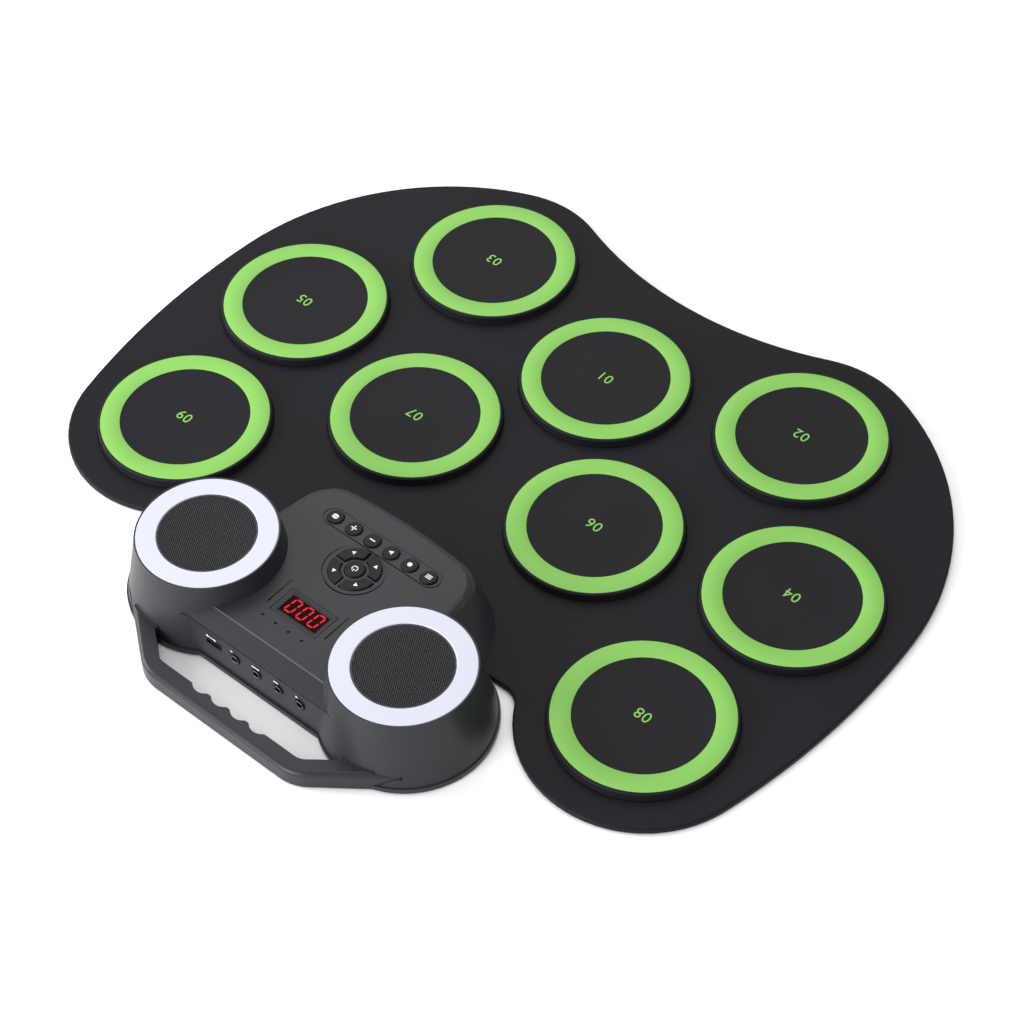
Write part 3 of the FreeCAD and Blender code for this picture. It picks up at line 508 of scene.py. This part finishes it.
ICON_SCALE = 0.85 * MM
KEY_ICONS = {"mode_key": "lines", "record_key": "record", "play_key": "play", "tempo_down_key": "minus",
             "tempo_up_key": "plus", "kit_key": "drum", "power_key": "power"}
KEYPAD_ICONS = {"volume_up_key": "up", "accompany_down_key": "left", "volume_down_key": "down",
                "accompany_up_key": "right"}
ARROW_REACH = 10.3 * MM


def key_mark(node, kind, x, y, scale):
    """A key's printed mark, which moves with the key."""
    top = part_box(node)[1].z
    plate(f"{node}_mark", millimetres(icon(kind), scale), Matrix.Translation((x, y, top)), INK,
          f"{node}_body")


for node, kind in KEY_ICONS.items():
    spot = middle_of(node)
    key_mark(node, kind, spot.x, spot.y, ICON_SCALE)

keypad = middle_of("power_key")
for node, kind in KEYPAD_ICONS.items():
    spot = middle_of(node)
    out = Vector((spot.x - keypad.x, spot.y - keypad.y)).normalized() * ARROW_REACH
    key_mark(node, kind, keypad.x + out.x, keypad.y + out.y, MM)

JACK_COLLAR = 4.0 * MM
JACK_BORE = 1.8 * MM
PORT_PITCH = 14.2 * MM
PORT_MARK_RISE = 5.4 * MM
USB_MARK_RISE = 4.6 * MM
jacks_low, jacks_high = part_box("audio_jacks")
rear = jacks_high.y
port_z = (jacks_low.z + jacks_high.z) / 2
ports = [jacks_low.x + JACK_COLLAR + k * PORT_PITCH for k in range(4)]
facing_rear = Matrix.Rotation(math.radians(180), 4, "Z") @ Matrix.Rotation(math.radians(90), 4, "X")


def on_rear(x, rise):
    """A mark's place on the rear face, at a height above the jacks' middle."""
    return Matrix.Translation((x, rear, port_z + rise)) @ facing_rear


for k, x in enumerate(ports):
    bars = [strip(-1.6 + 1.6 * i, 0, -0.9 + 1.6 * i, 0, 0.7) for i in range(k % 3 + 1)]
    plate(f"port_mark_{k}", millimetres(bars), on_rear(x, PORT_MARK_RISE), INK)
cable = [strip(-2.4, 0, 1.4, 0, 0.5), [(1.4, -0.9), (3.0, 0), (1.4, 0.9)], disc_outline(-2.9, 0, 0.75)]
plate("usb_mark", millimetres(cable), on_rear(middle_of("usb_socket").x, USB_MARK_RISE), INK)
wear(nodes["status_lamps"], LAMP)
# The USB socket wears steel darkened with painted shade, standing for the shade in its recess.
wear(nodes["usb_socket"], SOCKET_PAINTED_SHADE)

for k, x in enumerate(ports):
    profile = [(JACK_BORE, 0), (JACK_BORE, 0.12 * MM), (JACK_BORE + 0.15 * MM, 0.2 * MM),
               (JACK_BORE + 0.5 * MM, 0.2 * MM), (JACK_BORE + 0.65 * MM, 0), (JACK_BORE, 0)]
    ring = lathe(f"jack_ring_{k}", profile, (0, 0), JACK_RING, ROOT, 48)
    ring.data.transform(on_rear(x, 0))

# ------------------------------------------------------------------ painted highlight: lighter bead on the ridge edge


def rod(name, path, radius, material, around=10):
    """A thin round bead along a path of points."""
    points = []
    faces = []
    for i, spot in enumerate(path):
        ahead = Vector(path[min(i + 1, len(path) - 1)]) - Vector(path[max(i - 1, 0)])
        across = ahead.normalized().cross(Vector((0, 0, 1))).normalized()
        up = across.cross(ahead.normalized())
        for k in range(around):
            angle = 2 * math.pi * k / around
            points.append(Vector(spot) + radius * (across * math.cos(angle) + up * math.sin(angle)))
    for i in range(len(path) - 1):
        for k in range(around):
            j = (k + 1) % around
            faces.append((i * around + k, i * around + j, (i + 1) * around + j, (i + 1) * around + k))
    faces.append(tuple(range(around))[::-1])
    faces.append(tuple(range((len(path) - 1) * around, len(path) * around)))
    return piece(name, points, faces, material)


# The upper case's rear ridge, at the part's ridge_y and ridge_z: the whole case's box doesn't show it. The bead
# laid along it is lighter than the case, a painted highlight on the rounded edge.
RIDGE_Y = 153.4 * MM
RIDGE_Z = 30.5 * MM
RIDGE_HALF = 37.5 * MM
BEAD_RADIUS = 0.5 * MM
BEAD_SINK = 0.46 * MM
ridge_path = [(RIDGE_HALF * (i / 12 - 1), RIDGE_Y, RIDGE_Z - BEAD_SINK) for i in range(25)]
rod("ridge_painted_highlight", ridge_path, BEAD_RADIUS, RIDGE_HIGHLIGHT)

# ------------------------------------------------------------------ display frame

bezel_low, bezel_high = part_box("display_bezel")
HALF_X = (bezel_high.x - bezel_low.x) / 2
HALF_Y = (bezel_high.y - bezel_low.y) / 2
PANE_X = (window_high.x - window_low.x) / 2 + 0.1 * MM
PANE_Y = (window_high.y - window_low.y) / 2 + 0.1 * MM
FRAME_BEVEL = 0.3 * MM
FRAME_FACE = 1.1 * MM


def rounded_loop(half_x, half_y, corner, z, steps=5):
    """Points round a rectangle with round corners, at one height."""
    loop = []
    for quarter, (sx, sy) in enumerate(((1, 1), (-1, 1), (-1, -1), (1, -1))):
        for i in range(steps + 1):
            angle = math.pi / 2 * (quarter + i / steps)
            loop.append((window.x + sx * (half_x - corner) + corner * math.cos(angle),
                         window.y + sy * (half_y - corner) + corner * math.sin(angle), z))
    return loop


# Round the frame's section: up the outside, over the bevelled face, and down the slope to the window.
sunk = bezel_high.z - 0.8 * MM
loops = [rounded_loop(HALF_X, HALF_Y, 0.6 * MM, bezel_low.z),
         rounded_loop(HALF_X, HALF_Y, 0.6 * MM, bezel_high.z - FRAME_BEVEL),
         rounded_loop(HALF_X - FRAME_BEVEL, HALF_Y - FRAME_BEVEL, 0.6 * MM, bezel_high.z),
         rounded_loop(HALF_X - FRAME_FACE, HALF_Y - FRAME_FACE, 0.5 * MM, bezel_high.z),
         rounded_loop(PANE_X + 0.25 * MM, PANE_Y + 0.25 * MM, 0.3 * MM, sunk + 0.1 * MM),
         rounded_loop(PANE_X, PANE_Y, 0.2 * MM, sunk),
         rounded_loop(PANE_X, PANE_Y, 0.2 * MM, bezel_low.z)]
count = len(loops[0])
faces = []
for row in range(len(loops)):
    after = (row + 1) % len(loops)
    for i in range(count):
        j = (i + 1) % count
        faces.append((row * count + i, row * count + j, after * count + j, after * count + i))
sharpen(piece("display_frame", [point for loop in loops for point in loop], faces, CASE,
              stands_for=("display_bezel",)), 25)

# ------------------------------------------------------------------ floor, light, camera


def area_light(name, at, aim, across, power):
    """A round soft light of a given width and power in watts, turned to its aim."""
    lamp = bpy.data.lights.new(name, "AREA")
    lamp.shape = "DISK"
    lamp.size = across
    lamp.energy = power
    obj = bpy.data.objects.new(name, lamp)
    obj.location = at
    obj.rotation_euler = (Vector(aim) - Vector(at)).to_track_quat("-Z", "Y").to_euler()
    scene.collection.objects.link(obj)


FLOOR_SIZE = 8
SKY_STRENGTH = 0.66
MIDDLE = (0, 0, 0)
bpy.ops.mesh.primitive_plane_add(size=FLOOR_SIZE, location=MIDDLE)
floor = bpy.context.object
floor.name = "floor"
wear(floor, surface("floor_white", (0.9, 0.9, 0.9), (0.92, 0.92, 0.92), (0.85, 0.95), 40, 0.0))

world = bpy.data.worlds.new("studio")
world.use_nodes = True
sky = world.node_tree.nodes["Background"]
sky.inputs["Color"].default_value = (1, 1, 1, 1)
sky.inputs["Strength"].default_value = SKY_STRENGTH
scene.world = world
area_light("overhead", (0.0, -0.2, 1.6), MIDDLE, 1.6, 10.5)
area_light("far_side", (0.9, -0.8, 1.1), MIDDLE, 1.0, 5)
area_light("low_side", (1.0, 0.6, 0.42), (0, 0.13, 0.02), 0.7, 13)
area_light("low_rear", (0.1, 1.2, 0.3), (0, 0.16, 0.02), 0.7, 15)
scene.view_settings.view_transform = "Standard"

CAMERA_AT = Vector((-0.5935, 0.6353, 0.9825))
CAMERA_AIM = Vector((-0.0178, -0.0021, 0))
CAMERA_ROLL = math.radians(-2.19)
FOCAL_LENGTH = 90.4
SENSOR_WIDTH = 36
lens = bpy.data.cameras.new("camera")
lens.lens = FOCAL_LENGTH
lens.sensor_width = SENSOR_WIDTH
lens.clip_start = 0.01
camera = bpy.data.objects.new("camera", lens)
look = (CAMERA_AIM - CAMERA_AT).to_track_quat("-Z", "Y").to_matrix().to_4x4()
camera.matrix_world = Matrix.Translation(CAMERA_AT) @ look @ Matrix.Rotation(CAMERA_ROLL, 4, "Z")
scene.collection.objects.link(camera)
scene.camera = camera
